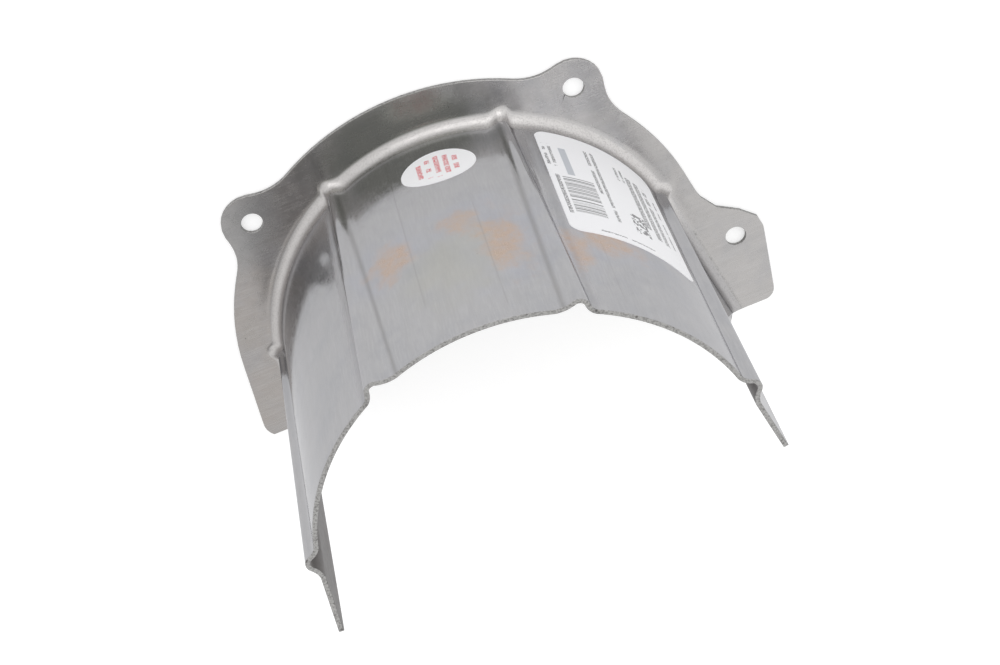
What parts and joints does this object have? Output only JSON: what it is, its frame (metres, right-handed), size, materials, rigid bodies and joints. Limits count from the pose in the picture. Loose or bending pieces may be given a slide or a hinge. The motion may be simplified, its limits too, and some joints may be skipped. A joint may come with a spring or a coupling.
{
  "type": "cv axle heat shield",
  "caption": "Pressed sheet-metal shield: a half-round ribbed trough that covers a drive shaft's joint, with a flange and bolt ears at one end.",
  "frame": {"origin": "on the drive shaft's axis, in the plane of the flange's mounting face", "axes": "+Z along the shaft from the gearbox to the shield's free end, +Y to the crest of the trough, +X to the side with the lower ear"},
  "size_m": [0.181, 0.1246, 0.122],
  "materials": {
    "sheet": "rolled and pressed, satin, faintly heat-stained",
    "label_paper": "coated white paper"
  },
  "bodies": {
    "root": {"heat_shield": "sheet", "part_label": "label_paper", "oval_sticker": "label_paper"}
  },
  "joints": []
}
